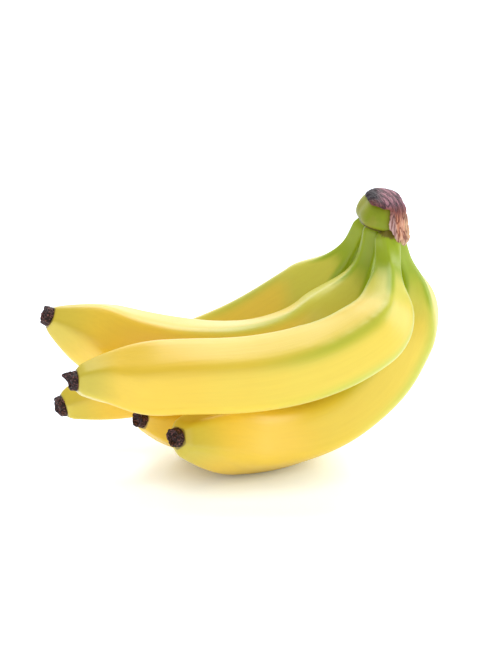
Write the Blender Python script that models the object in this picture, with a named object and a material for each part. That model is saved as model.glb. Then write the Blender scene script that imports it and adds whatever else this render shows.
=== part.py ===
"""A bunch of five bananas that grew from one crown, at its real size.

The bunch lies as it would on a table: the crown stands up at +X, the five fruits curve down and away
from it towards -X, and the two lower fruits rest on their bellies. +Z is up and -Y is the front.
The origin is on the table, under the middle of the bunch.
"""

import math
from typing import NamedTuple

import bmesh
import bpy
from mathutils import Vector
from mathutils.geometry import interpolate_bezier

MM = 0.001

# Every length below is in millimetres. BUNCH_MIDDLE is the point of the table that becomes the origin.
BUNCH_MIDDLE = Vector((0.88, 28.58, -4.25))

# One fruit: a long even belly between a slender neck and a blunt flower end.
NECK_RADIUS = 5.8
BELLY_RADIUS = 18.3
SHOULDER_LENGTH = 0.205

# Inside the crown the neck thins to its root.
ROOT_RADIUS = 3.0
ROOT_END = 0.035

# A banana's section is a pentagon with rounded ridges. The flat side faces the inside of the bend.
FACES = 5
INNER_FACE_DEPTH = 0.93
BELLY_RIDGE_SHARPNESS = 7.0
END_RIDGE_SHARPNESS = 10.0

# Mesh fineness.
SIDES = 20
RINGS = 30
SPINE_STEPS = 90
SPINE_RELAXING = 8

# The dried flower end is a short rough stub on the tip of each fruit. A ring's place along the stub and its
# width are shares of the stub's length and radius.
STUB_LENGTH = 3.4
STUB_SIDES = 12
STUB_RINGS = [(0.0, 0.95), (0.3, 1.0), (0.75, 1.05), (1.0, 0.86)]
STUB_ROUGHNESS = 0.05

# The crown is a green cushion across all five necks. Its long way runs from the back neck to the front one.
CROWN_MIDDLE = Vector((68.6, 27.5, 120))
CROWN_LONG = Vector((0.47, -0.857, -0.206)).normalized()
CROWN_LEAN = Vector((0.16, -0.09, 0.95))
CROWN_ACROSS = CROWN_LONG.cross(CROWN_LEAN).normalized()
CROWN_UP = CROWN_ACROSS.cross(CROWN_LONG)
CROWN_SIDES = 28
# The cushion reaches this far past the middle of each neck, and follows their row this closely.
NECK_COVER = 6.0
NECK_FOLLOWING = 8.0
# It is this much narrower under the torn fibres, which are this many degrees from its long way.
FIBRE_TRIM = 0.3
FIBRE_SIDE = -25
# Each ring: its height above the top of the necks, and its share of the outline round the necks.
CROWN_RINGS = [(-1.1, 0.74), (0.1, 0.95), (2.4, 1.02), (6.0, 0.98), (9.3, 0.87), (11.8, 0.72), (13.6, 0.5),
               (14.4, 0.24)]

# The dried cut stalk caps the crown, and its torn fibres hang over the front end.
CAP_RINGS = [(11.0, 0.77), (12.4, 0.75), (14.0, 0.64), (15.3, 0.43), (15.9, 0.2)]
CAP_ALONG = 1.2
CAP_ACROSS = 1.2
# A strip's route, as shares of the crown's outline and heights.
STRIP_ROUTE = [(0.3, 14.8), (0.55, 13.8), (0.76, 11.8), (0.93, 8), (1.07, 4), (1.23, 0), (1.38, -4.5)]
# Each strip's direction from the middle of the crown, in degrees from its long way, and how far down it ends.
STRIPS = [(21, 0.8), (11, 0.92), (0, 1.0), (-11, 0.95)]
STRIP_HALF_WIDTH = 2.3
STRIP_HALF_THICKNESS = 1.3
STRIP_SIDES = 8
STRIP_RINGS = 10

# Pieces that touch keep this gap.
GAP = 0.3


class Fruit(NamedTuple):
    """How one fruit differs from the others, and the line it runs along from the crown to its flower end."""
    girth: float     # share of the belly radius
    neck: float      # share of the neck radius
    shoulder: float  # share of the length at which the neck starts to widen
    taper: float     # share of the length at which the belly starts to narrow
    tip: float       # radius at the flower end
    stub: float      # radius of the dried stub there
    roll: float      # degrees by which its flat side is turned from the inside of the bend
    route: list


FRUITS = {
    "upper_front": Fruit(0.925, 1.0, 0.085, 0.78, 6.2, 4.9, 9, [
        (71, 13, 120.5), (71, 12, 112), (70.5, 8, 102.5), (68.5, -1, 93), (65, -12, 78.5), (41, -23, 65.2),
        (9.5, -25, 57.5), (-26.5, -22, 55), (-56.5, -18, 53), (-76.7, -23, 53.4)]),
    "upper_middle": Fruit(0.955, 0.92, 0.085, 0.83, 5.7, 5.0, 0, [
        (65.5, 24, 122), (64.5, 24, 114.5), (63, 23, 106.5), (59, 21.2, 93.5), (51.5, 19.5, 82), (42.5, 17.8, 72),
        (29.5, 17, 63), (6.5, 16, 56), (-19, 18, 55), (-44, 22, 57.5), (-69.5, 22.5, 64.2), (-92.4, 15, 75)]),
    "upper_back": Fruit(0.965, 0.95, 0.07, 0.765, 6.6, 5.8, 0, [
        (63.5, 34, 122), (60.5, 36, 114), (56, 40, 103.5), (50.5, 44.5, 93), (44, 49.7, 84), (31.5, 58.5, 72.5),
        (4, 73, 52.5), (-26, 77.5, 38.5), (-56.5, 70, 27.2), (-91, 57, 18)]),
    "lower_front": Fruit(0.99, 0.92, 0.085, 0.8, 7.2, 4.8, 4, [
        (73.5, 26, 119), (75.5, 27.5, 108.5), (79, 30, 98), (83, 33, 86), (83, 38, 70), (70.5, 41, 42),
        (51.5, 38, 24.5), (30, 30, 15.5), (10, 17, 14.8), (-9, 2, 19), (-29.5, -17.5, 23.9)]),
    "lower_back": Fruit(0.958, 0.92, 0.085, 0.82, 5.6, 4.9, 0, [
        (71.5, 37.5, 120), (73, 41.5, 109), (74, 50, 97), (70.5, 66, 82), (65, 78, 66), (57, 82, 49), (43, 80, 29),
        (22, 72, 15), (-1, 58, 13.4), (-25.5, 39.5, 15.8), (-48.5, 20.5, 22)]),
}

ON_THE_TABLE = ("lower_front", "lower_back")

PEEL_COLOUR = (0.88, 0.60, 0.06)
CROWN_COLOUR = (0.31, 0.35, 0.04)
STUMP_COLOUR = (0.30, 0.15, 0.12)
FLOWER_END_COLOUR = (0.035, 0.018, 0.014)


def clear_scene():
    for old in list(bpy.data.objects):
        bpy.data.objects.remove(old)


def material(name, colour, roughness):
    made = bpy.data.materials.new(name)
    made.use_nodes = True
    shader = made.node_tree.nodes["Principled BSDF"]
    shader.inputs["Base Color"].default_value = (*colour, 1.0)
    shader.inputs["Roughness"].default_value = roughness
    shader.inputs["Metallic"].default_value = 0.0
    return made


def finish(name, mesh, finish_material):
    """Makes a bmesh in millimetres into an object in metres, at its place in the bunch."""
    bmesh.ops.translate(mesh, verts=mesh.verts, vec=-BUNCH_MIDDLE)
    bmesh.ops.scale(mesh, verts=mesh.verts, vec=(MM, MM, MM))
    bmesh.ops.recalc_face_normals(mesh, faces=mesh.faces)
    data = bpy.data.meshes.new(name)
    mesh.to_mesh(data)
    mesh.free()
    data.materials.append(finish_material)
    data.shade_smooth()
    made = bpy.data.objects.new(name, data)
    bpy.context.scene.collection.objects.link(made)
    return made


def smooth_step(start, end, value):
    """0 before start, 1 after end, and an even rise between them."""
    share = min(1.0, max(0.0, (value - start) / (end - start)))
    return share * share * (3 - 2 * share)


def curve_through(points):
    """A dense smooth line through the points, with its kinks relaxed."""
    knots = [Vector(p) for p in points]
    before = [knots[0] * 2 - knots[1]] + knots[:-1]
    after = knots[1:] + [knots[-1] * 2 - knots[-2]]
    slopes = [(b - a) / 6 for a, b in zip(before, after)]
    line = [knots[0]]
    for i in range(len(knots) - 1):
        span = interpolate_bezier(knots[i], knots[i] + slopes[i], knots[i + 1] - slopes[i + 1], knots[i + 1], 16)
        line += span[1:]
    line = evenly_spaced(line, SPINE_STEPS)
    for _ in range(SPINE_RELAXING):
        line[1:-1] = [(a + b * 2 + c) / 4 for a, b, c in zip(line, line[1:], line[2:])]
    return line


def evenly_spaced(line, count):
    """The same line as count points the same distance apart."""
    lengths = [0.0]
    for a, b in zip(line, line[1:]):
        lengths.append(lengths[-1] + (b - a).length)
    spaced = []
    i = 0
    for k in range(count):
        along = lengths[-1] * k / (count - 1)
        while i < len(line) - 2 and lengths[i + 1] < along:
            i += 1
        share = (along - lengths[i]) / (lengths[i + 1] - lengths[i])
        spaced.append(line[i].lerp(line[i + 1], share))
    return spaced


def fruit_radius(fruit, along):
    """The mean radius of a fruit at a share of its length, from the crown to the flower end."""
    neck = NECK_RADIUS * fruit.neck
    neck = ROOT_RADIUS + (neck - ROOT_RADIUS) * smooth_step(0.0, ROOT_END, along)
    shoulder = smooth_step(fruit.shoulder, fruit.shoulder + SHOULDER_LENGTH, along)
    left = min(1.0, (1 - along) / (1 - fruit.taper))
    belly = BELLY_RADIUS * fruit.girth
    body = fruit.tip + (belly - fruit.tip) * math.sin(math.pi / 2 * left)
    return neck + (body - neck) * shoulder


def section_radius(angle, along):
    """How far the skin is from the spine at an angle from its flat side, as a share of the radius."""
    in_belly = smooth_step(0.0, 0.35, along) * (1 - smooth_step(0.7, 1.0, along))
    sharpness = END_RIDGE_SHARPNESS + (BELLY_RIDGE_SHARPNESS - END_RIDGE_SHARPNESS) * in_belly
    total = 0.0
    for face in range(FACES):
        depth = INNER_FACE_DEPTH if face == 0 else 1.0
        facing = math.cos(angle - math.tau * face / FACES) / depth
        if facing > 0:
            total += facing**sharpness
    return total ** (-1 / sharpness)


def spine_frames(line):
    """For each point of the spine: the way along it, the inside of the bend, and the way across both."""
    middle = line[len(line) // 2]
    inside = ((line[0] + line[-1]) / 2 - middle).normalized()
    frames = []
    for i, point in enumerate(line):
        along = (line[min(i + 1, len(line) - 1)] - line[max(i - 1, 0)]).normalized()
        inner = (inside - along * inside.dot(along)).normalized()
        frames.append((point, along, inner, along.cross(inner)))
    return frames


def bridge_rings(mesh, rings):
    """Joins rings of vertices, one after another, into one skin."""
    loops = [list({edge for vert in ring for edge in vert.link_edges}) for ring in rings]
    for one, other in zip(loops, loops[1:]):
        bmesh.ops.bridge_loops(mesh, edges=one + other)


def stack_rings(sides, count, place):
    """A closed skin over rings of points. place(ring, angle) gives each point."""
    mesh = bmesh.new()
    rings = []
    for k in range(count):
        ring = bmesh.ops.create_circle(mesh, cap_ends=k in (0, count - 1), segments=sides, radius=1)["verts"]
        for i, vert in enumerate(ring):
            vert.co = place(k, math.tau * i / sides)
        rings.append(ring)
    bridge_rings(mesh, rings)
    return mesh


def fruit_line(name):
    return evenly_spaced(curve_through(FRUITS[name].route), RINGS)


def make_fruit(name, peel):
    """A fruit, pressed flat where it lies on the table."""
    fruit = FRUITS[name]
    frames = spine_frames(fruit_line(name))

    def place(k, angle):
        point, _, inner, across = frames[k]
        along = k / (RINGS - 1)
        reach = fruit_radius(fruit, along) * section_radius(angle, along)
        turned = angle + math.radians(fruit.roll)
        return point + (inner * math.cos(turned) + across * math.sin(turned)) * reach

    mesh = stack_rings(SIDES, RINGS, place)
    if name in ON_THE_TABLE:
        press_flat(mesh)
    return finish("banana_" + name, mesh, peel)


def press_flat(mesh):
    """Cuts the belly level with the table and closes the cut with one flat face."""
    everything = mesh.verts[:] + mesh.edges[:] + mesh.faces[:]
    table = Vector((0, 0, BUNCH_MIDDLE.z))
    cut = bmesh.ops.bisect_plane(mesh, geom=everything, plane_co=table, plane_no=(0, 0, 1), clear_inner=True)
    rim = [part for part in cut["geom_cut"] if isinstance(part, bmesh.types.BMEdge)]
    bmesh.ops.contextual_create(mesh, geom=rim)


def make_flower_end(name, dried):
    """The dried stub that the flower leaves on a fruit's tip."""
    point, along, inner, across = spine_frames(fruit_line(name))[-1]

    def place(k, angle):
        share, width = STUB_RINGS[k]
        rough = 1 + STUB_ROUGHNESS * (math.sin(3 * angle + k) + math.sin(5 * angle + 2 * k))
        side = inner * math.cos(angle) + across * math.sin(angle)
        return point + along * (GAP + STUB_LENGTH * share) + side * FRUITS[name].stub * width * rough

    mesh = stack_rings(STUB_SIDES, len(STUB_RINGS), place)
    return finish("flower_end_" + name, mesh, dried)


def in_crown(long, height, across):
    """A point of the bunch from its place in the crown's own three ways."""
    return CROWN_MIDDLE + CROWN_LONG * long + CROWN_UP * height + CROWN_ACROSS * across


def neck_places():
    """Where each neck meets the crown, along the crown and across it."""
    places = []
    for name in FRUITS:
        crossing = next(p for p in curve_through(FRUITS[name].route) if (p - CROWN_MIDDLE).dot(CROWN_UP) < 0)
        offset = crossing - CROWN_MIDDLE
        places.append((offset.dot(CROWN_LONG), offset.dot(CROWN_ACROSS)))
    return places


def crown_outline(angle, necks):
    """How far the cushion reaches round the necks, at an angle from the crown's long way."""
    total = 0.0
    for long, across in necks:
        reach = long * math.cos(angle) + across * math.sin(angle) + NECK_COVER
        total += max(0.0, reach) ** NECK_FOLLOWING
    trim = FIBRE_TRIM * max(0.0, math.cos(angle - math.radians(FIBRE_SIDE))) ** 2
    return total ** (1 / NECK_FOLLOWING) * (1 - trim)


def crown_stack(rings, grown=0.0, along=0.0, across=0.0):
    """A skin round the necks, larger all round by grown, and moved along the crown and across it."""
    necks = neck_places()
    lowest = rings[0][0]
    highest = rings[-1][0]

    def place(k, angle):
        height, share = rings[k]
        reach = crown_outline(angle, necks) * share + grown
        height += grown * (2 * (height - lowest) / (highest - lowest) - 1)
        return in_crown(along + reach * math.cos(angle), height, across + reach * math.sin(angle))

    return stack_rings(CROWN_SIDES, len(rings), place)


def make_strip(index, dried):
    """One torn strip of fibres, from under the cut down over the crown's front end."""
    direction, end = STRIPS[index]
    angle = math.radians(direction)
    outline = crown_outline(angle, neck_places())
    outward = CROWN_LONG * math.cos(angle) + CROWN_ACROSS * math.sin(angle)
    side = CROWN_UP.cross(outward)
    route = []
    for share, height in STRIP_ROUTE:
        route.append(in_crown(0, height, 0) + outward * (outline * share + STRIP_HALF_THICKNESS))
    line = evenly_spaced(curve_through(route)[:round(SPINE_STEPS * end)], STRIP_RINGS)

    def place(k, turn):
        along = (line[min(k + 1, STRIP_RINGS - 1)] - line[max(k - 1, 0)]).normalized()
        size = 1 - 0.5 * smooth_step(0.7, 1.0, k / (STRIP_RINGS - 1))
        width = side * STRIP_HALF_WIDTH * math.cos(turn)
        thickness = side.cross(along) * STRIP_HALF_THICKNESS * math.sin(turn)
        return line[k] + (width + thickness) * size

    mesh = stack_rings(STRIP_SIDES, STRIP_RINGS, place)
    return finish("fibre_strip_%d" % index, mesh, dried)


def combine(target, tool, operation):
    """Cuts or joins the tool to the target. The tool itself is not part of the model."""
    step = target.modifiers.new(tool.name, "BOOLEAN")
    step.operation = operation
    step.object = tool
    tool.hide_render = True
    tool.display_type = "WIRE"


def make_crown(green, dried, fruits):
    """The green cushion, with the necks and the stump cut to fit it."""
    crown = finish("crown", crown_stack(CROWN_RINGS), green)
    stump = finish("stalk_stump", crown_stack(CAP_RINGS, along=CAP_ALONG, across=CAP_ACROSS), dried)
    for index in range(len(STRIPS)):
        combine(stump, make_strip(index, dried), "UNION")
    grown = finish("crown_cutter", crown_stack(CROWN_RINGS, grown=GAP), green)
    for piece in fruits + [stump]:
        combine(piece, grown, "DIFFERENCE")
    return crown


def main():
    clear_scene()
    peel = material("peel", PEEL_COLOUR, 0.4)
    green = material("green_crown", CROWN_COLOUR, 0.45)
    dried_stalk = material("dried_stalk", STUMP_COLOUR, 0.8)
    dried_flower = material("dried_flower", FLOWER_END_COLOUR, 0.9)
    fruits = [make_fruit(name, peel) for name in FRUITS]
    for name in FRUITS:
        make_flower_end(name, dried_flower)
    make_crown(green, dried_stalk, fruits)


main()
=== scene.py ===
"""The looks of a bunch of five bananas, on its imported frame.

The bunch lies with its crown at +X and its front at -Y. Every length is in millimetres until a piece is
finished, and a piece is built where it grew.
"""

import math
from typing import NamedTuple

import bmesh
import bpy
import numpy as np
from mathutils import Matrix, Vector, noise
from mathutils.geometry import interpolate_bezier


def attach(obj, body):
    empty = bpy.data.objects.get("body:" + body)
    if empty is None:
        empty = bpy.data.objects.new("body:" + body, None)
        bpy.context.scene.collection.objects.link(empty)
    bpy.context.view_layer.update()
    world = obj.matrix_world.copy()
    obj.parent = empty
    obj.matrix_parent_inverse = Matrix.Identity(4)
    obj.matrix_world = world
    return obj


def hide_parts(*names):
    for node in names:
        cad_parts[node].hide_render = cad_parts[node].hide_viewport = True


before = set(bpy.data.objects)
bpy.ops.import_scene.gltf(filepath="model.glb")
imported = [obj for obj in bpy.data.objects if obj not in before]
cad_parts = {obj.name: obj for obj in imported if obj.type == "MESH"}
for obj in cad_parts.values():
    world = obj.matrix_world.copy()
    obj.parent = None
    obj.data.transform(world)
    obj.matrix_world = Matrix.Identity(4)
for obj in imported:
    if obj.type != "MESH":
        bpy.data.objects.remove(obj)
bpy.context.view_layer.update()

MM = 0.001

# BUNCH_MIDDLE is the point of the table that is the frame's origin.
BUNCH_MIDDLE = Vector((0.88, 28.58, -4.25))

# One fruit: a long even belly between a slender neck and a blunt flower end.
NECK_RADIUS = 5.8
BELLY_RADIUS = 18.3
SHOULDER_LENGTH = 0.205
ROOT_RADIUS = 3.0
ROOT_END = 0.035
FRUIT_SIDES = 90
FRUIT_RINGS = 190
STEPS_A_SPAN = 16
SPINE_STEPS = 90
SPINE_RELAXING = 8

# A banana's section is a pentagon with rounded ridges. The flat side faces the inside of the bend.
FACES = 5
INNER_FACE_DEPTH = 0.93
BELLY_RIDGE_SHARPNESS = 7.0
END_RIDGE_SHARPNESS = 8.5

# The flower end is rounded over this share of the length.
TIP_ROUNDING = 0.016

# The skin is evened between these shares of the length, where the fruit bends away from its neck, and as far
# as this round from the inside of the bend.
EASED_FROM = 0.12
EASED_MOST = 0.27
EASED_TO = 0.44
EASED_ROUND = math.radians(105)

# The skin swells and sinks by this much, over patches this wide.
SWELL = 0.22
SWELL_WIDTH = 26.0

# The dried flower end: a rough cup with a torn rim round a low bud.
STUB_LENGTH = 3.4
STUB_SIDES = 96
STUB_RINGS = 60
# Each point: its place along the stub and its distance from the middle, as shares of length and radius.
STUB_PROFILE = [(-0.1, 0.88), (0.0, 0.94), (0.25, 0.96), (0.6, 0.92), (0.85, 0.9), (0.98, 0.78), (0.82, 0.62),
                (0.62, 0.48), (0.6, 0.32), (0.8, 0.16), (0.84, 0.03)]
STUB_WRINKLE = 0.32
STUB_GRIT = 0.22

# The crown is a green cushion across all five necks. Its long way runs from the back neck to the front one.
CROWN_MIDDLE = Vector((68.6, 27.5, 120))
CROWN_LONG = Vector((0.47, -0.857, -0.206)).normalized()
CROWN_LEAN = Vector((0.16, -0.09, 0.95))
CROWN_ACROSS = CROWN_LONG.cross(CROWN_LEAN).normalized()
CROWN_UP = CROWN_ACROSS.cross(CROWN_LONG)
CROWN_SIDES = 150
CROWN_RING_COUNT = 70
NECK_COVER = 6.0
NECK_FOLLOWING = 8.0
# It is this much narrower under the torn fibres, which are this many degrees from its long way.
FIBRE_TRIM = 0.3
FIBRE_SIDE = -25
# Each point: its height above the top of the necks, and its share of the outline round the necks.
CROWN_PROFILE = [(-1.1, 0.5), (-1.1, 0.74), (0.1, 0.94), (2.4, 1.01), (6.0, 0.97), (9.3, 0.86), (11.8, 0.71),
                 (13.6, 0.49), (14.3, 0.24), (14.4, 0.02)]
# The crown swells and sinks by this much. Its lumps are this wide, and so are the cap's.
CROWN_SWELL = 0.35
LUMP_WIDTH = 7

# The dried cut stalk caps the crown, and its torn fibres hang over the front end.
CAP_PROFILE = [(11.2, 0.5), (11.0, 0.77), (12.4, 0.75), (14.0, 0.63), (15.2, 0.43), (15.7, 0.2), (15.8, 0.03)]
CAP_ALONG = 1.2
CAP_ACROSS = 1.2
CAP_SWELL = 0.5
CAP_EDGE_WAVE = 0.9
STRIP_ROUTE = [(0.3, 14.8), (0.55, 13.8), (0.76, 11.8), (0.93, 8), (1.07, 4), (1.23, 0), (1.38, -4.5)]


class Strip(NamedTuple):
    """One torn strip of the dried stalk that hangs over the crown's front end."""
    direction: float  # degrees from the crown's long way
    end: float        # share of the route at which it ends
    half_width: float
    half_thickness: float


STRIPS = [Strip(21.5, 0.72, 1.0, 0.8), Strip(16, 0.8, 1.5, 1.2), Strip(9.5, 0.92, 2.4, 1.4),
          Strip(0, 0.99, 2.7, 1.4), Strip(-9, 0.95, 2.5, 1.2)]
STRIP_SIDES = 24
STRIP_RINGS = 60

# The stalk's fibres: their width, which grows by half in the hanging strips, how far they wander, the depth
# of the creases between them and of the hairlines in them, and the height of their grit.
FIBRE_WIDTH = 1.1
FIBRE_WANDER = 0.9
CREASE_DEPTH = 0.35
HAIRLINE_DEPTH = 0.1
FIBRE_GRIT = 0.16
# The cap and its strips are knitted into one skin of squares this wide.
VOXEL = 0.3

# The necks and the stalk stop this far short of the crown.
SHRINK_GAP = 0.15


class Fruit(NamedTuple):
    """How one fruit differs from the others, and the line it runs along from the crown to its flower end."""
    girth: float     # share of the belly radius
    neck: float      # share of the neck radius
    shoulder: float  # share of the length at which the neck starts to widen
    taper: float     # share of the length at which the belly starts to narrow
    tip: float       # radius at the flower end
    stub: float      # radius of the dried stub there
    roll: float      # degrees by which its flat side is turned from the inside of the bend
    beak: float      # degrees round the stub to its longest torn tip, from the inside of the bend
    hook: float      # how far that tip sticks out, as a share of the stub's length
    easing: int      # how many times its skin is evened inside the bend under the neck
    green: float     # how much further along its green reaches, as a share of the length
    ripe: float      # how far its flower end has turned to orange yellow
    route: list


FRUITS = {
    "upper_front": Fruit(0.925, 1.0, 0.085, 0.78, 6.2, 4.9, 9, 20, 0.9, 110, 0.02, 0.0, [
        (71, 13, 120.5), (71, 12, 112), (70.5, 8, 102.5), (68.5, -1, 93), (65, -12, 78.5), (41, -23, 65.2),
        (9.5, -25, 57.5), (-26.5, -22, 55), (-56.5, -18, 53), (-76.7, -23, 53.4)]),
    "upper_middle": Fruit(0.955, 0.92, 0.085, 0.83, 5.7, 5.0, 0, 10, 0.25, 6, 0.14, 0.2, [
        (65.5, 24, 122), (64.5, 24, 114.5), (63, 23, 106.5), (59, 21.2, 93.5), (51.5, 19.5, 82),
        (42.5, 17.8, 72), (29.5, 17, 63), (6.5, 16, 56), (-19, 18, 55), (-44, 22, 57.5),
        (-69.5, 22.5, 64.2), (-92.4, 15, 75)]),
    "upper_back": Fruit(0.965, 0.95, 0.07, 0.765, 6.6, 5.8, 0, 150, 0.3, 0, 0.12, 0.0, [
        (63.5, 34, 122), (60.5, 36, 114), (56, 40, 103.5), (50.5, 44.5, 93), (44, 49.7, 84),
        (31.5, 58.5, 72.5), (4, 73, 52.5), (-26, 77.5, 38.5), (-56.5, 70, 27.2), (-91, 57, 18)]),
    "lower_front": Fruit(0.99, 0.92, 0.085, 0.8, 7.2, 4.8, 4, 80, 0.2, 20, 0.0, 0.0, [
        (73.5, 26, 119), (75.5, 27.5, 108.5), (79, 30, 98), (83, 33, 86), (83, 38, 70), (70.5, 41, 42),
        (51.5, 38, 24.5), (30, 30, 15.5), (10, 17, 14.8), (-9, 2, 19), (-29.5, -17.5, 23.9)]),
    "lower_back": Fruit(0.958, 0.92, 0.085, 0.82, 5.6, 4.9, 0, 300, 0.2, 20, 0.0, 1.0, [
        (71.5, 37.5, 120), (73, 41.5, 109), (74, 50, 97), (70.5, 66, 82), (65, 78, 66), (57, 82, 49),
        (43, 80, 29), (22, 72, 15), (-1, 58, 13.4), (-25.5, 39.5, 15.8), (-48.5, 20.5, 22)]),
}

ON_THE_TABLE = ("lower_front", "lower_back")


def smooth_step(start, end, value):
    """0 before start, 1 after end, and an even rise between them."""
    share = min(1.0, max(0.0, (value - start) / (end - start)))
    return share * share * (3 - 2 * share)


def relaxed(line, times):
    """The line with its kinks evened out. Its ends stay."""
    for _ in range(times):
        line[1:-1] = [(a + b * 2 + c) / 4 for a, b, c in zip(line, line[1:], line[2:])]
    return line


def evenly_spaced(line, count):
    """The same line as count points the same distance apart."""
    lengths = [0.0]
    for a, b in zip(line, line[1:]):
        lengths.append(lengths[-1] + (b - a).length)
    spaced = []
    i = 0
    for k in range(count):
        along = lengths[-1] * k / (count - 1)
        while i < len(line) - 2 and lengths[i + 1] < along:
            i += 1
        share = (along - lengths[i]) / (lengths[i + 1] - lengths[i])
        spaced.append(line[i].lerp(line[i + 1], share))
    return spaced


def curve_through(points, relaxing=SPINE_RELAXING):
    """A dense smooth line through the points."""
    knots = [Vector(p) for p in points]
    before = [knots[0] * 2 - knots[1]] + knots[:-1]
    after = knots[1:] + [knots[-1] * 2 - knots[-2]]
    slopes = [(b - a) / 6 for a, b in zip(before, after)]
    line = [knots[0]]
    for i in range(len(knots) - 1):
        start, end = knots[i], knots[i + 1]
        span = interpolate_bezier(start, start + slopes[i], end - slopes[i + 1], end, STEPS_A_SPAN)
        line += span[1:]
    return relaxed(evenly_spaced(line, SPINE_STEPS), relaxing)


def spine_frames(line):
    """For each point of the spine: the way along it, the inside of the bend, and the way across both."""
    middle = line[len(line) // 2]
    inside = ((line[0] + line[-1]) / 2 - middle).normalized()
    frames = []
    for i, point in enumerate(line):
        along = (line[min(i + 1, len(line) - 1)] - line[max(i - 1, 0)]).normalized()
        inner = (inside - along * inside.dot(along)).normalized()
        frames.append((point, along, inner, along.cross(inner)))
    return frames


def fruit_radius(fruit, along):
    """The mean radius of a fruit at a share of its length, from the crown to the flower end."""
    neck = NECK_RADIUS * fruit.neck
    neck = ROOT_RADIUS + (neck - ROOT_RADIUS) * smooth_step(0.0, ROOT_END, along)
    shoulder = smooth_step(fruit.shoulder, fruit.shoulder + SHOULDER_LENGTH, along)
    left = min(1.0, (1 - along) / (1 - fruit.taper))
    belly = BELLY_RADIUS * fruit.girth
    body = fruit.tip + (belly - fruit.tip) * math.sin(math.pi / 2 * left)
    past = max(0.0, 1 - (1 - along) / TIP_ROUNDING)
    rounding = math.sqrt(1 - past**2 * (1 - (fruit.stub / fruit.tip) ** 2))
    return (neck + (body - neck) * shoulder) * rounding


def section_radius(angle, along):
    """How far the skin is from the spine at an angle from its flat side, as a share of the radius."""
    in_belly = smooth_step(0.0, 0.35, along) * (1 - smooth_step(0.7, 1.0, along))
    sharpness = END_RIDGE_SHARPNESS + (BELLY_RIDGE_SHARPNESS - END_RIDGE_SHARPNESS) * in_belly
    total = 0.0
    for face in range(FACES):
        depth = INNER_FACE_DEPTH if face == 0 else 1.0
        facing = math.cos(angle - math.tau * face / FACES) / depth
        if facing > 0:
            total += facing**sharpness
    return total ** (-1 / sharpness)


def rolled_skin(sides, rings, place):
    """A closed skin: a grid rolled into a tube, with its seam welded and its ends closed."""
    mesh = bmesh.new()
    grid = bmesh.ops.create_grid(mesh, x_segments=sides, y_segments=rings - 1, size=1)["verts"]
    for i, vert in enumerate(grid):
        ring, side = divmod(i, sides + 1)
        vert.co = place(ring, math.tau * (side % sides) / sides)
    bmesh.ops.remove_doubles(mesh, verts=mesh.verts, dist=0.0001)
    ends = [edge for edge in mesh.edges if edge.is_boundary]
    bmesh.ops.holes_fill(mesh, edges=ends)
    bmesh.ops.recalc_face_normals(mesh, faces=mesh.faces)
    return mesh


def finish(name, mesh, finish_material):
    """Makes a bmesh in millimetres into an object in metres, at its place in the bunch."""
    bmesh.ops.translate(mesh, verts=mesh.verts, vec=-BUNCH_MIDDLE)
    bmesh.ops.scale(mesh, verts=mesh.verts, vec=(MM, MM, MM))
    data = bpy.data.meshes.new(name)
    mesh.to_mesh(data)
    mesh.free()
    data.materials.append(finish_material)
    data.shade_smooth()
    made = bpy.data.objects.new(name, data)
    bpy.context.scene.collection.objects.link(made)
    return made


def settle(piece):
    """Makes the piece's modifiers part of its mesh."""
    graph = bpy.context.evaluated_depsgraph_get()
    settled = bpy.data.meshes.new_from_object(piece.evaluated_get(graph))
    piece.modifiers.clear()
    piece.data = settled
    settled.shade_smooth()


def combine(target, tool, operation):
    """Cuts or joins the tool to the target."""
    step = target.modifiers.new(tool.name, "BOOLEAN")
    step.operation = operation
    step.object = tool


def places_of(piece):
    """The places of a finished piece's points, in millimetres where it grew."""
    points = np.empty(len(piece.data.vertices) * 3)
    piece.data.vertices.foreach_get("co", points)
    return points.reshape(-1, 3) / MM + np.array(BUNCH_MIDDLE)


def note(piece, name, values):
    """Keeps a value at every point of a piece, for its material to read."""
    kind = "FLOAT_VECTOR" if values.ndim == 2 else "FLOAT"
    kept = piece.data.attributes.new(name, kind, "POINT")
    kept.data.foreach_set("vector" if values.ndim == 2 else "value", values.astype(np.float32).ravel())


def fruit_frames(name):
    line = curve_through(FRUITS[name].route)
    return spine_frames(relaxed(evenly_spaced(line, FRUIT_RINGS), SPINE_RELAXING))


def make_fruit(name, peel, cutter):
    """A fruit in its skin, pressed flat where it lies on the table."""
    fruit = FRUITS[name]
    frames = fruit_frames(name)

    def place(k, angle):
        point, _, inner, across = frames[k]
        along = k / (FRUIT_RINGS - 1)
        turned = angle + math.radians(fruit.roll)
        way = inner * math.cos(turned) + across * math.sin(turned)
        reach = fruit_radius(fruit, along) * section_radius(angle, along)
        skin = point + way * reach
        swell = SWELL * noise.noise(skin / SWELL_WIDTH) * smooth_step(0.1, 0.3, along)
        return skin + way * swell

    mesh = rolled_skin(FRUIT_SIDES, FRUIT_RINGS, place)
    ease_shoulder(mesh, fruit.easing)
    if name in ON_THE_TABLE:
        press_flat(mesh)
    piece = finish("peel_" + name, mesh, peel)
    combine(piece, cutter, "DIFFERENCE")
    settle(piece)
    note_along_fruit(piece, frames, fruit)
    return piece


def ease_shoulder(mesh, times):
    """Evens the skin inside the bend under the neck, most of all in the bend's middle."""
    for i in range(times):
        first = EASED_FROM + (EASED_MOST - EASED_FROM) * i / times
        last = EASED_TO + (EASED_MOST - EASED_TO) * i / times
        bend = []
        for vert in mesh.verts:
            ring, side = divmod(vert.index, FRUIT_SIDES)
            angle = math.tau * min(side, FRUIT_SIDES - side) / FRUIT_SIDES
            if first * FRUIT_RINGS < ring < last * FRUIT_RINGS and angle < EASED_ROUND:
                bend.append(vert)
        bmesh.ops.smooth_vert(mesh, verts=bend, factor=0.5, use_axis_x=True, use_axis_y=True, use_axis_z=True)


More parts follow.
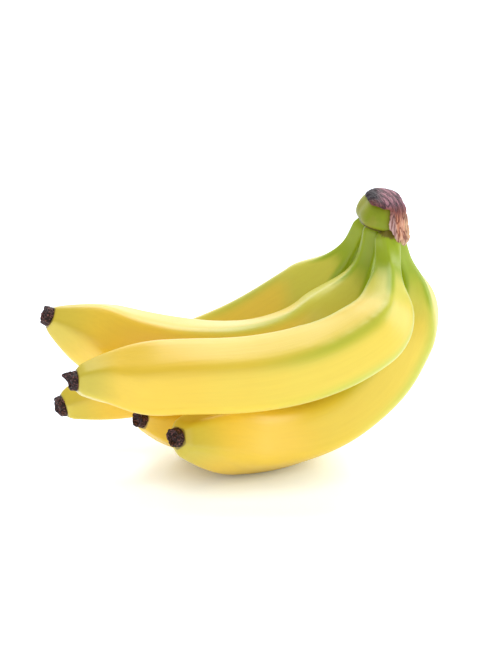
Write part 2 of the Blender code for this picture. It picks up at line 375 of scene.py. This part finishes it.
def press_flat(mesh):
    """Cuts the belly level with the table and closes the cut with one flat face."""
    everything = mesh.verts[:] + mesh.edges[:] + mesh.faces[:]
    table = Vector((0, 0, BUNCH_MIDDLE.z))
    cut = bmesh.ops.bisect_plane(mesh, geom=everything, plane_co=table, plane_no=(0, 0, 1), clear_inner=True)
    rim = [part for part in cut["geom_cut"] if isinstance(part, bmesh.types.BMEdge)]
    bmesh.ops.contextual_create(mesh, geom=rim)


def note_along_fruit(piece, frames, fruit):
    """Notes each point's place if the fruit were straight, how near a ridge it is, and how ripe."""
    points = places_of(piece)
    spine, along, inner, across = (np.array([f[i] for f in frames]) for i in range(4))
    nearest = ((points[:, None] - spine[None]) ** 2).sum(2).argmin(1)
    offset = points - spine[nearest]
    step = np.linalg.norm(spine[1] - spine[0])
    past = (offset * along[nearest]).sum(1)
    inward = (offset * inner[nearest]).sum(1)
    sideways = (offset * across[nearest]).sum(1)
    angle = np.arctan2(sideways, inward) - math.radians(fruit.roll)
    share = (nearest * step + past) / (step * (len(frames) - 1))
    note(piece, "share", share)
    note(piece, "green_share", share - fruit.green)
    note(piece, "ripe", np.full(len(points), fruit.ripe))
    note(piece, "straight", np.stack([inward, sideways, nearest * step + past], 1))
    note(piece, "ridge", (0.5 - 0.5 * np.cos(FACES * angle)) ** 4)
    note(piece, "below_crown", -crown_places(points)[:, 1])


def make_flower_end(name, dried):
    """The dried stub that the flower leaves on a fruit's tip."""
    point, along, inner, across = fruit_frames(name)[-1]
    beak = math.radians(FRUITS[name].beak)
    profile = evenly_spaced(curve_through([(a, r, 0) for a, r in STUB_PROFILE], 1), STUB_RINGS)
    seed = Vector((7, 3, 5)) * list(FRUITS).index(name)

    def place(k, angle):
        share, width = profile[k].x, profile[k].y
        side = inner * math.cos(angle) + across * math.sin(angle)
        torn = noise.noise(Vector((math.cos(angle), math.sin(angle), 0)) * 2.2 + seed)
        tip = max(0.0, math.cos(angle - beak)) ** 6
        rim = smooth_step(0.25, 1.0, share) * smooth_step(0.2, 0.8, width)
        length = STUB_LENGTH * share * (1 + rim * (0.3 * torn + FRUITS[name].hook * tip))
        reach = FRUITS[name].stub * width * (1 + 0.1 * torn + 0.06 * rim * tip)
        skin = point + along * length + side * reach
        wrinkle = STUB_WRINKLE * noise.noise(skin * 0.75 + seed)
        grit = STUB_GRIT * noise.noise(skin * 2.1 + seed)
        return skin + (side * min(1.0, width * 2) + along * 0.5 * (1 - width)) * (wrinkle + grit)

    return finish("dried_flower_" + name, rolled_skin(STUB_SIDES, STUB_RINGS, place), dried)


def in_crown(long, height, across):
    """A point of the bunch from its place in the crown's own three ways."""
    return CROWN_MIDDLE + CROWN_LONG * long + CROWN_UP * height + CROWN_ACROSS * across


def crown_places(points):
    """Points of the bunch in the crown's own three ways: long, height and across."""
    ways = np.array([CROWN_LONG, CROWN_UP, CROWN_ACROSS])
    return (points - np.array(CROWN_MIDDLE)) @ ways.T


def neck_places():
    """Where each neck meets the crown, along the crown and across it."""
    places = []
    for name in FRUITS:
        crossing = next(p for p in curve_through(FRUITS[name].route) if (p - CROWN_MIDDLE).dot(CROWN_UP) < 0)
        offset = crossing - CROWN_MIDDLE
        places.append((offset.dot(CROWN_LONG), offset.dot(CROWN_ACROSS)))
    return places


NECKS = neck_places()


def neck_outline(angle):
    """How far the cushion would reach round the necks, at an angle from the crown's long way."""
    total = 0.0
    for long, across in NECKS:
        reach = long * math.cos(angle) + across * math.sin(angle) + NECK_COVER
        total += max(0.0, reach) ** NECK_FOLLOWING
    trim = FIBRE_TRIM * max(0.0, math.cos(angle - math.radians(FIBRE_SIDE))) ** 2
    return total ** (1 / NECK_FOLLOWING) * (1 - trim)


def crown_outline(angle):
    """The same, with the dents between the necks softened."""
    near = [neck_outline(angle + math.radians(turn)) for turn in (-30, -15, 0, 15, 30)]
    return (near[0] + near[4] + 2 * (near[1] + near[3]) + 3 * near[2]) / 9


def crown_skin(points, along=0.0, across=0.0, swell=0.0, wave=0.0, grown=0.0):
    """A skin round the necks. It swells in soft lumps, and its lower edge waves up and down."""
    outline_size = crown_outline(math.pi / 2)
    profile = [(share * outline_size, height, 0) for height, share in points]
    profile = evenly_spaced(curve_through(profile, 2), CROWN_RING_COUNT)
    top = profile[-1].y

    def place(k, angle):
        share, height = profile[k].x / outline_size, profile[k].y
        reach = crown_outline(angle) * share
        way = Vector((math.cos(angle), math.sin(angle), 0))
        height += wave * noise.noise(way * 3.3) * smooth_step(top, points[0][0], height)
        lump = swell * noise.noise(Vector((reach * way.x, reach * way.y, height)) / LUMP_WIDTH)
        reach += lump * smooth_step(0.1, 0.8, share) + grown * smooth_step(0.0, 0.5, share)
        height += grown * (1 if height > 0 else -1)
        return in_crown(along + reach * way.x, height, across + reach * way.y)

    return rolled_skin(CROWN_SIDES, CROWN_RING_COUNT, place)


def make_strip(strip, dried):
    """One torn strip of fibres, from under the cut down over the crown's front end."""
    angle = math.radians(strip.direction)
    outline = crown_outline(angle)
    outward = CROWN_LONG * math.cos(angle) + CROWN_ACROSS * math.sin(angle)
    side = CROWN_UP.cross(outward)
    route = []
    for share, height in STRIP_ROUTE:
        route.append(in_crown(0, height, 0) + outward * (outline * share + strip.half_thickness * 0.8))
    line = evenly_spaced(curve_through(route)[:round(SPINE_STEPS * strip.end)], STRIP_RINGS)

    def place(k, turn):
        along = (line[min(k + 1, STRIP_RINGS - 1)] - line[max(k - 1, 0)]).normalized()
        near_end = k / (STRIP_RINGS - 1)
        size = math.sqrt(1 - smooth_step(0.84, 1.02, near_end)) * (0.8 + 0.2 * near_end)
        width = side * strip.half_width * math.cos(turn)
        thickness = side.cross(along) * strip.half_thickness * math.sin(turn)
        return line[k] + (width + thickness) * max(size, 0.12)

    return finish("strip", rolled_skin(STRIP_SIDES, STRIP_RINGS, place), dried)


def carve_fibres(piece):
    """Raises the stalk's fibres on its skin, and notes where its grooves are."""
    points = places_of(piece)
    normals = np.empty(len(points) * 3)
    piece.data.vertices.foreach_get("normal", normals)
    normals = normals.reshape(-1, 3)
    lift = np.empty(len(points))
    groove = np.empty(len(points))
    for i, (long, height, across) in enumerate(crown_places(points)):
        here = Vector((long, height, across))
        coarse = 1 + 0.5 * smooth_step(12.0, 8.0, height)
        thread = (across + FIBRE_WANDER * noise.noise(here / 5.0)) / (FIBRE_WIDTH * coarse)
        run = (long - height) / 9
        fibre = noise.noise(Vector((thread, run, 0)))
        hair = noise.noise(Vector((thread * 2.6, run * 2, 5)))
        crease = math.exp(-((fibre / 0.13) ** 2))
        thin_crease = math.exp(-((hair / 0.16) ** 2))
        grit = noise.noise(here * 1.3)
        lift[i] = -CREASE_DEPTH * crease - HAIRLINE_DEPTH * thin_crease + FIBRE_GRIT * grit
        groove[i] = min(1.0, crease + 0.35 * thin_crease)
    points = (points - np.array(BUNCH_MIDDLE) + normals * lift[:, None]) * MM
    piece.data.vertices.foreach_set("co", points.ravel())
    note(piece, "groove", groove)


def make_stump(dried, cutter):
    """The dried cut stalk and its hanging strips, grown into one skin."""
    cap = crown_skin(CAP_PROFILE, CAP_ALONG, CAP_ACROSS, CAP_SWELL, CAP_EDGE_WAVE)
    stump = finish("dried_stalk_cap", cap, dried)
    strips = [make_strip(strip, dried) for strip in STRIPS]
    for strip in strips:
        combine(stump, strip, "UNION")
    knit = stump.modifiers.new("knit", "REMESH")
    knit.mode = "VOXEL"
    knit.voxel_size = VOXEL * MM
    even = stump.modifiers.new("even", "SMOOTH")
    even.iterations = 2
    settle(stump)
    carve_fibres(stump)
    combine(stump, cutter, "DIFFERENCE")
    settle(stump)
    for strip in strips:
        bpy.data.objects.remove(strip)
    note(stump, "crown_place", crown_places(places_of(stump)))
    return stump


def linear(hex_colour):
    """An sRGB hex colour as linear red, green, blue and alpha."""
    channels = [int(hex_colour[i:i + 2], 16) / 255 for i in (0, 2, 4)]
    return [c / 12.92 if c <= 0.04045 else ((c + 0.055) / 1.055) ** 2.4 for c in channels] + [1.0]


def start_material(name, roughness):
    """A new material, its node tree and its shader."""
    made = bpy.data.materials.new(name)
    made.use_nodes = True
    shader = made.node_tree.nodes["Principled BSDF"]
    shader.inputs["Roughness"].default_value = roughness
    return made, made.node_tree, shader


def add_node(tree, kind, inputs, **settings):
    """Adds a node. An input's value is a number, a colour or another node's output."""
    made = tree.nodes.new("ShaderNode" + kind)
    for name, value in settings.items():
        setattr(made, name, value)
    for name, value in inputs.items():
        if isinstance(value, bpy.types.NodeSocket):
            tree.links.new(value, made.inputs[name])
        else:
            made.inputs[name].default_value = value
    return made


def make_peel():
    """Ripe banana peel: a smooth waxy skin, green at the neck and along the ridges near it."""
    peel, tree, shader = start_material("ripe_banana_peel", 0.36)
    shader.inputs["Coat Roughness"].default_value = 0.3
    straight = add_node(tree, "Attribute", {}, attribute_name="straight").outputs["Vector"]
    share = add_node(tree, "Attribute", {}, attribute_name="share").outputs["Fac"]
    green_share = add_node(tree, "Attribute", {}, attribute_name="green_share").outputs["Fac"]
    ripe = add_node(tree, "Attribute", {}, attribute_name="ripe").outputs["Fac"]
    ridge = add_node(tree, "Attribute", {}, attribute_name="ridge").outputs["Fac"]
    below = add_node(tree, "Attribute", {}, attribute_name="below_crown").outputs["Fac"]

    # Patches some 30 mm wide ripen a little sooner or later than their neighbours.
    patch = add_node(tree, "TexNoise", {"Vector": straight, "Scale": 1 / 30, "Detail": 2.0}).outputs["Fac"]
    # Fibres under the skin run along the fruit, about 1.5 mm apart.
    stretched = add_node(tree, "Mapping", {"Vector": straight, "Scale": (1, 1, 0.06)}).outputs["Vector"]
    fibre = add_node(tree, "TexNoise", {"Vector": stretched, "Scale": 1 / 1.5, "Detail": 3.0}).outputs["Fac"]

    # The belly is lemon yellow, and a warmer yellow towards the flower end.
    old = add_node(tree, "Math", {0: patch, 1: 0.5, 2: share}, operation="MULTIPLY_ADD").outputs[0]
    old = add_node(tree, "Math", {0: ripe, 1: 0.3, 2: old}, operation="MULTIPLY_ADD").outputs[0]
    warm = add_node(tree, "MapRange", {"Value": old, 1: 0.75, 2: 1.05, 3: 0.0, 4: 1.0}).outputs[0]
    colour = add_node(tree, "Mix", {0: warm, 6: linear("F0D240"), 7: linear("F4CC36")},
                      data_type="RGBA").outputs[2]

    # Green fades along the ridges first, then from the shoulder up to the neck, which is green all round.
    late = add_node(tree, "Math", {0: patch, 1: 0.1, 2: green_share}, operation="MULTIPLY_ADD").outputs[0]
    keel = add_node(tree, "MapRange", {"Value": late, 1: 0.38, 2: 0.64, 3: 0.85, 4: 0.0},
                    interpolation_type="SMOOTHSTEP").outputs[0]
    keel = add_node(tree, "Math", {0: keel, 1: ridge}, operation="MULTIPLY").outputs[0]
    colour = add_node(tree, "Mix", {0: keel, 6: colour, 7: linear("BFC636")}, data_type="RGBA").outputs[2]
    shoulder = add_node(tree, "MapRange", {"Value": late, 1: 0.18, 2: 0.29, 3: 1.0, 4: 0.0},
                        interpolation_type="SMOOTHSTEP").outputs[0]
    colour = add_node(tree, "Mix", {0: shoulder, 6: colour, 7: linear("D6D045")}, data_type="RGBA").outputs[2]
    late = add_node(tree, "Math", {0: patch, 1: 0.1, 2: share}, operation="MULTIPLY_ADD").outputs[0]
    late = add_node(tree, "Math", {0: ridge, 1: -0.05, 2: late}, operation="MULTIPLY_ADD").outputs[0]
    neck = add_node(tree, "MapRange", {"Value": late, 1: 0.155, 2: 0.215, 3: 1.0, 4: 0.0},
                    interpolation_type="SMOOTHSTEP").outputs[0]
    colour = add_node(tree, "Mix", {0: neck, 6: colour, 7: linear("9FB414")}, data_type="RGBA").outputs[2]
    unripe = add_node(tree, "MapRange", {"Value": ripe, 1: 0.0, 2: 1.0, 3: 0.6, 4: 0.0}).outputs[0]
    tip = add_node(tree, "MapRange", {"Value": share, 1: 0.88, 2: 0.99, 3: 0.0, 4: unripe},
                   interpolation_type="SMOOTHSTEP").outputs[0]
    colour = add_node(tree, "Mix", {0: tip, 6: colour, 7: linear("BDB93A")}, data_type="RGBA").outputs[2]

    # The fibres shade the skin a little; under the crown's edge it is corky brown with painted shade, and
    # brown at the stub.
    shade = add_node(tree, "MapRange", {"Value": fibre, 1: 0.4, 2: 0.75, 3: 0.0, 4: 0.07}).outputs[0]
    colour = add_node(tree, "Mix", {0: shade, 6: colour, 7: linear("B98F18")}, data_type="RGBA").outputs[2]
    ragged = add_node(tree, "Math", {0: fibre, 1: -2.2, 2: below}, operation="MULTIPLY_ADD").outputs[0]
    corky_and_painted_shade = add_node(tree, "MapRange", {"Value": ragged, 1: -0.6, 2: 0.4, 3: 0.75, 4: 0.0}).outputs[0]
    colour = add_node(tree, "Mix", {0: corky_and_painted_shade, 6: colour, 7: linear("6A4420")}, data_type="RGBA").outputs[2]
    end = add_node(tree, "MapRange", {"Value": share, 1: 0.9985, 2: 1.0, 3: 0.0, 4: 0.7}).outputs[0]
    colour = add_node(tree, "Mix", {0: end, 6: colour, 7: linear("6B5020")}, data_type="RGBA").outputs[2]
    tree.links.new(colour, shader.inputs["Base Color"])

    # Pores 0.5 mm wide dull the wax.
    pores = add_node(tree, "TexNoise", {"Vector": straight, "Scale": 2.0, "Detail": 2.0}).outputs["Fac"]
    relief = add_node(tree, "Math", {0: fibre, 1: 2.0, 2: pores}, operation="MULTIPLY_ADD").outputs[0]
    bump = add_node(tree, "Bump", {"Height": relief, "Strength": 0.12, "Distance": 0.0003}).outputs["Normal"]
    tree.links.new(bump, shader.inputs["Normal"])
    gloss = add_node(tree, "MapRange", {"Value": pores, 1: 0.3, 2: 0.7, 3: 0.36, 4: 0.44}).outputs[0]
    tree.links.new(gloss, shader.inputs["Roughness"])
    # The neck has less wax than the belly.
    wax = add_node(tree, "MapRange", {"Value": neck, 1: 0.0, 2: 1.0, 3: 0.28, 4: 0.05}).outputs[0]
    tree.links.new(wax, shader.inputs["Coat Weight"])
    return peel


def make_green_stem():
    """Living stem tissue: smooth olive green with a soft sheen, brown and corky along its lower edge."""
    stem, tree, shader = start_material("green_stem_skin", 0.5)
    shader.inputs["Specular IOR Level"].default_value = 0.35
    place = add_node(tree, "Attribute", {}, attribute_name="crown_place").outputs["Vector"]
    ways = add_node(tree, "SeparateXYZ", {"Vector": place}).outputs
    patch = add_node(tree, "TexNoise", {"Vector": place, "Scale": 1 / 6, "Detail": 3.0}).outputs["Fac"]
    front = add_node(tree, "MapRange", {"Value": ways["X"], 1: -16.0, 2: 8.0, 3: 0.0, 4: 1.0}).outputs[0]
    colour = add_node(tree, "Mix", {0: front, 6: linear("9E9A3C"), 7: linear("8E9C18")},
                      data_type="RGBA").outputs[2]
    ripe = add_node(tree, "MapRange", {"Value": patch, 1: 0.4, 2: 0.65, 3: 0.0, 4: 0.7}).outputs[0]
    colour = add_node(tree, "Mix", {0: ripe, 6: colour, 7: linear("A09E34")}, data_type="RGBA").outputs[2]
    grain = add_node(tree, "TexNoise", {"Vector": place, "Scale": 1.2, "Detail": 3.0}).outputs["Fac"]
    edge = add_node(tree, "Math", {0: grain, 1: -1.2, 2: ways["Y"]}, operation="MULTIPLY_ADD").outputs[0]
    scar = add_node(tree, "MapRange", {"Value": edge, 1: 0.0, 2: 1.1, 3: 0.9, 4: 0.0}).outputs[0]
    colour = add_node(tree, "Mix", {0: scar, 6: colour, 7: linear("4E3A14")}, data_type="RGBA").outputs[2]
    tree.links.new(colour, shader.inputs["Base Color"])
    bump = add_node(tree, "Bump", {"Height": grain, "Strength": 0.25, "Distance": 0.0003}).outputs["Normal"]
    tree.links.new(bump, shader.inputs["Normal"])
    return stem


def make_dried_stalk():
    """Dried cut stalk: matt fibres, near black where oldest, mauve on top and pale tan on the strips."""
    stalk, tree, shader = start_material("dried_stalk_fibre", 0.6)
    place = add_node(tree, "Attribute", {}, attribute_name="crown_place").outputs["Vector"]
    groove = add_node(tree, "Attribute", {}, attribute_name="groove").outputs["Fac"]
    ways = add_node(tree, "SeparateXYZ", {"Vector": place}).outputs
    patch = add_node(tree, "TexNoise", {"Vector": place, "Scale": 1 / 3, "Detail": 3.0}).outputs["Fac"]
    # Bundles of fibres 1 mm wide differ in colour. They run along the crown and down its front.
    bundles = add_node(tree, "Mapping", {"Vector": place, "Scale": (0.1, 0.1, 1.0)}).outputs["Vector"]
    bundle = add_node(tree, "TexNoise", {"Vector": bundles, "Scale": 1.0, "Detail": 3.0, "Distortion": 0.6})
    bundle = bundle.outputs["Fac"]
    streak = add_node(tree, "MapRange", {"Value": bundle, 1: 0.38, 2: 0.62, 3: 0.0, 4: 1.0}).outputs[0]

    mauve = add_node(tree, "Mix", {0: streak, 6: linear("583540"), 7: linear("B47C88")},
                     data_type="RGBA").outputs[2]
    long = add_node(tree, "Math", {0: patch, 1: 6.0, 2: ways["X"]}, operation="MULTIPLY_ADD").outputs[0]
    height = add_node(tree, "Math", {0: patch, 1: 4.0, 2: ways["Y"]}, operation="MULTIPLY_ADD").outputs[0]
    leftward = add_node(tree, "Math", {0: ways["X"], 1: -0.55, 2: ways["Z"]},
                        operation="MULTIPLY_ADD").outputs[0]
    leftward = add_node(tree, "Math", {0: patch, 1: 5.0, 2: leftward}, operation="MULTIPLY_ADD").outputs[0]
    fresh = add_node(tree, "MapRange", {"Value": leftward, 1: 9.5, 2: 5.5, 3: 0.0, 4: 1.0}).outputs[0]
    colour = add_node(tree, "Mix", {0: fresh, 6: linear("2B2029"), 7: mauve}, data_type="RGBA").outputs[2]

    # Over the front the fibres turn red-brown and then tan, with one pale strip on the left.
    front = add_node(tree, "MapRange", {"Value": long, 1: 4.0, 2: 9.0, 3: 0.0, 4: 1.0}).outputs[0]
    turning = add_node(tree, "MapRange", {"Value": height, 1: 15.5, 2: 12.5, 3: 0.0, 4: 1.0}).outputs[0]
    turning = add_node(tree, "Math", {0: turning, 1: front}, operation="MULTIPLY").outputs[0]
    colour = add_node(tree, "Mix", {0: turning, 6: colour, 7: linear("965246")}, data_type="RGBA").outputs[2]
    low = add_node(tree, "MapRange", {"Value": height, 1: 12.5, 2: 8.0, 3: 0.0, 4: 1.0}).outputs[0]
    strip = add_node(tree, "Math", {0: low, 1: front}, operation="MULTIPLY").outputs[0]
    tan = add_node(tree, "Mix", {0: streak, 6: linear("C87A56"), 7: linear("E2AC8C")},
                   data_type="RGBA").outputs[2]
    left = add_node(tree, "MapRange", {"Value": ways["Z"], 1: 4.6, 2: 5.6, 3: 0.0, 4: 0.85}).outputs[0]
    tan = add_node(tree, "Mix", {0: left, 6: tan, 7: linear("DAB4B0")}, data_type="RGBA").outputs[2]
    right = add_node(tree, "MapRange", {"Value": ways["Z"], 1: 0.5, 2: -1.5, 3: 0.0, 4: 0.8}).outputs[0]
    tan = add_node(tree, "Mix", {0: right, 6: tan, 7: linear("E6BC90")}, data_type="RGBA").outputs[2]
    ends = add_node(tree, "MapRange", {"Value": height, 1: 3.0, 2: -1.0, 3: 0.0, 4: 0.7}).outputs[0]
    tan = add_node(tree, "Mix", {0: ends, 6: tan, 7: linear("DDBE98")}, data_type="RGBA").outputs[2]
    colour = add_node(tree, "Mix", {0: strip, 6: colour, 7: tan}, data_type="RGBA").outputs[2]

    # Painted shade darkens the creases between the fibres.
    painted_crease_shade = add_node(tree, "MapRange", {"Value": groove, 1: 0.25, 2: 0.95, 3: 0.0, 4: 0.8}).outputs[0]
    dark = add_node(tree, "Mix", {0: strip, 6: linear("38232D"), 7: linear("7A3A2A")},
                    data_type="RGBA").outputs[2]
    colour = add_node(tree, "Mix", {0: painted_crease_shade, 6: colour, 7: dark}, data_type="RGBA").outputs[2]
    tree.links.new(colour, shader.inputs["Base Color"])
    grain = add_node(tree, "TexNoise", {"Vector": place, "Scale": 2.5, "Detail": 4.0}).outputs["Fac"]
    bump = add_node(tree, "Bump", {"Height": grain, "Strength": 0.5, "Distance": 0.0003}).outputs["Normal"]
    tree.links.new(bump, shader.inputs["Normal"])
    return stalk


def make_dried_flower():
    """Dried flower remains: a wrinkled dark purple-brown crust with mauve grit."""
    crust, tree, shader = start_material("dried_flower_crust", 0.55)
    shader.inputs["Specular IOR Level"].default_value = 0.3
    place = add_node(tree, "TexCoord", {}).outputs["Object"]
    grit = add_node(tree, "TexNoise", {"Vector": place, "Scale": 1100.0, "Detail": 3.0}).outputs["Fac"]
    speck = add_node(tree, "MapRange", {"Value": grit, 1: 0.5, 2: 0.68, 3: 0.0, 4: 0.8}).outputs[0]
    colour = add_node(tree, "Mix", {0: speck, 6: linear("26130F"), 7: linear("8E5854")},
                      data_type="RGBA").outputs[2]
    tree.links.new(colour, shader.inputs["Base Color"])
    bump = add_node(tree, "Bump", {"Height": grit, "Strength": 0.7, "Distance": 0.0004}).outputs["Normal"]
    tree.links.new(bump, shader.inputs["Normal"])
    return crust


# The studio: the table's glow, dimmer near the bunch as a painted shadow, its reach, and the room's
# brightness.
# The glow's two distances from the bunch and the table's reach are in metres.
TABLE_GLOW_IN_PAINTED_SHADOW = 0.08
TABLE_GLOW_FAR = 0.55
PAINTED_SHADOW_FADE_START = 0.018
PAINTED_SHADOW_FADE_END = 0.058
TABLE_REACH = 8
ROOM_BRIGHTNESS = 0.42
# Each light's way from the bunch, how many degrees wide it looks from there, and its power.
LIGHTS = {
    "top_softbox": ((0.05, 0.45, 1), 42, 2.0),
    "bright_backdrop": ((0, 1, 0.3), 60, 1.1),
    "side_softbox": ((1, 0.1, 0.35), 42, 1.35),
    "front_fill": ((-0.4, -1, 0.2), 50, 0.5),
}


def make_table():
    """The plain white light table that the bunch lies on, which is not part of it. Its glow is dimmer near
    the bunch, as a painted shadow.
    """
    white, tree, shader = start_material("white_table", 0.4)
    shader.inputs["Base Color"].default_value = linear("DEE9FA")
    shader.inputs["Emission Color"].default_value = linear("FFFFFF")
    place = add_node(tree, "TexCoord", {}).outputs["Object"]
    away = add_node(tree, "VectorMath", {0: place}, operation="LENGTH").outputs["Value"]
    # The glow is weakest round the bunch: a painted shadow under it.
    glow = add_node(tree, "MapRange", {"Value": away, 1: PAINTED_SHADOW_FADE_START, 2: PAINTED_SHADOW_FADE_END, 3: TABLE_GLOW_IN_PAINTED_SHADOW,
                                       4: TABLE_GLOW_FAR}).outputs[0]
    tree.links.new(glow, shader.inputs["Emission Strength"])
    mesh = bmesh.new()
    bmesh.ops.create_grid(mesh, x_segments=1, y_segments=1, size=TABLE_REACH)
    data = bpy.data.meshes.new("table")
    mesh.to_mesh(data)
    mesh.free()
    data.materials.append(white)
    table = bpy.data.objects.new("table", data)
    bpy.context.scene.collection.objects.link(table)


def light_studio():
    """White all round, softboxes above and to the right, a bright backdrop, and a soft fill in front."""
    world = bpy.data.worlds.new("studio")
    world.use_nodes = True
    background = world.node_tree.nodes["Background"]
    background.inputs["Color"].default_value = (1, 1, 1, 1)
    background.inputs["Strength"].default_value = ROOM_BRIGHTNESS
    bpy.context.scene.world = world
    for name, (way, width, power) in LIGHTS.items():
        light = bpy.data.lights.new(name, "SUN")
        light.angle = math.radians(width)
        light.energy = power
        made = bpy.data.objects.new(name, light)
        made.rotation_mode = "QUATERNION"
        made.rotation_quaternion = Vector(way).to_track_quat("Z", "Y")
        bpy.context.scene.collection.objects.link(made)
    bpy.context.scene.view_settings.view_transform = "Standard"


# The photograph's frame is 665 pixels high. The camera is 900 mm away and looks down 14 degrees.
PHOTO_HEIGHT = 665
FOCAL_PIXELS = 1836.7
SENSOR = 36.0
CAMERA_DISTANCE = 900
CAMERA_TILT = math.radians(14)
CAMERA_TARGET = Vector((0, 20, 66))


def place_camera():
    data = bpy.data.cameras.new("photo_view")
    data.sensor_width = SENSOR
    data.lens = FOCAL_PIXELS / PHOTO_HEIGHT * SENSOR
    made = bpy.data.objects.new("photo_view", data)
    back = Vector((0, -math.cos(CAMERA_TILT), math.sin(CAMERA_TILT)))
    made.location = (CAMERA_TARGET - BUNCH_MIDDLE + back * CAMERA_DISTANCE) * MM
    made.rotation_mode = "QUATERNION"
    made.rotation_quaternion = (-back).to_track_quat("-Z", "Y")
    bpy.context.scene.collection.objects.link(made)
    bpy.context.scene.camera = made


def put_in_place(piece, node):
    """The piece stands for its node and moves with the bunch."""
    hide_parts(node)
    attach(piece, "root")


def dress_bunch():
    peel = make_peel()
    green = make_green_stem()
    dried_stalk = make_dried_stalk()
    dried_flower = make_dried_flower()

    crown = finish("green_crown", crown_skin(CROWN_PROFILE, swell=CROWN_SWELL), green)
    note(crown, "crown_place", crown_places(places_of(crown)))
    cutter = finish("crown_cutter", crown_skin(CROWN_PROFILE, swell=CROWN_SWELL, grown=SHRINK_GAP), green)
    for name in FRUITS:
        put_in_place(make_fruit(name, peel, cutter), "banana_" + name)
        put_in_place(make_flower_end(name, dried_flower), "flower_end_" + name)
    put_in_place(crown, "crown")
    put_in_place(make_stump(dried_stalk, cutter), "stalk_stump")
    bpy.data.objects.remove(cutter)


dress_bunch()
make_table()
light_studio()
place_camera()
